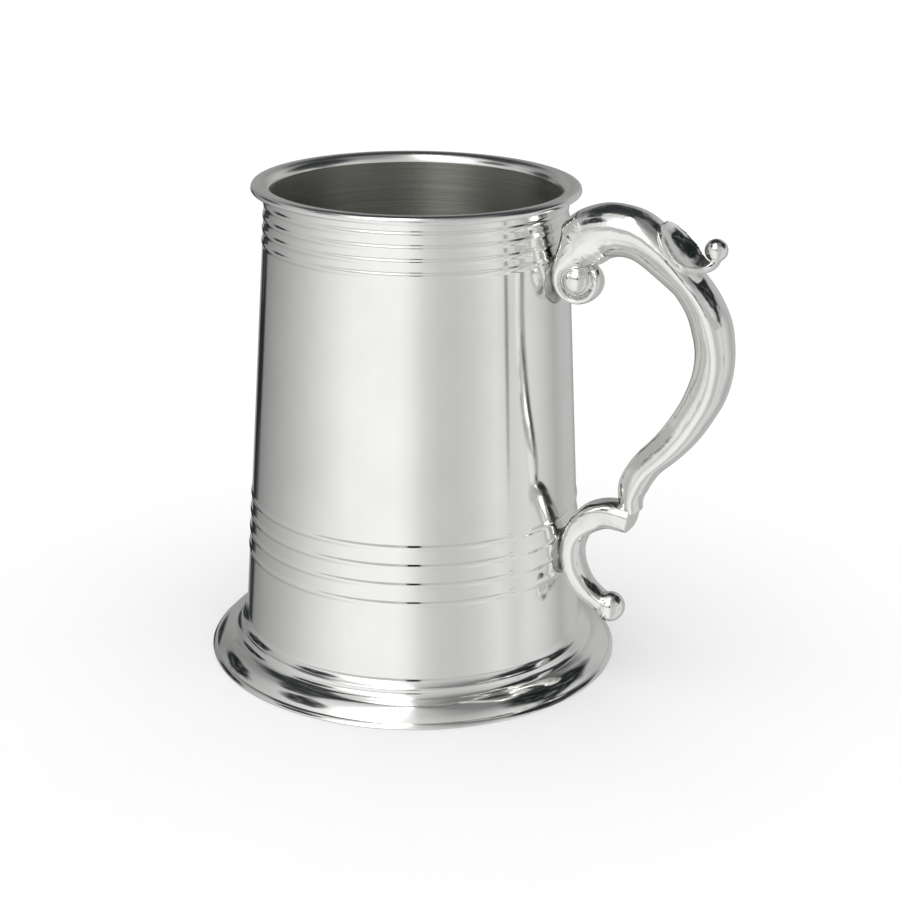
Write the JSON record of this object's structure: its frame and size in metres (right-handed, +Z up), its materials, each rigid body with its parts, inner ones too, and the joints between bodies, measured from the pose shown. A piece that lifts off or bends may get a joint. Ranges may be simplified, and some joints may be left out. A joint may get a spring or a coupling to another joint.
{
  "type": "tankard",
  "caption": "Open pewter drinking tankard: tapered spun barrel with reeded bands, turned lip, stepped foot and a cast double-scroll handle with a leaf thumb rest.",
  "frame": {"origin": "centre of the circle that the foot stands on", "axes": "+Z up the barrel's axis, +X from the barrel towards the handle"},
  "size_m": [0.1346, 0.1042, 0.1212],
  "materials": {
    "polished_pewter": "mirror-polished pewter",
    "satin_pewter": "turned satin pewter",
    "cast_pewter": "cast pewter, hand polished",
    "solder": "pewter solder, burnished"
  },
  "bodies": {
    "root": {"barrel": "polished_pewter", "lip_ring": "polished_pewter", "bottom_disc": "satin_pewter", "floor_solder_ring": "solder", "foot_skirt": "polished_pewter", "foot_rim_ring": "polished_pewter", "handle_upper_scroll": "cast_pewter", "thumb_leaf": "cast_pewter", "handle_lower_scroll": "cast_pewter", "upper_solder_pad": "solder", "lower_solder_pad": "solder"}
  },
  "joints": []
}
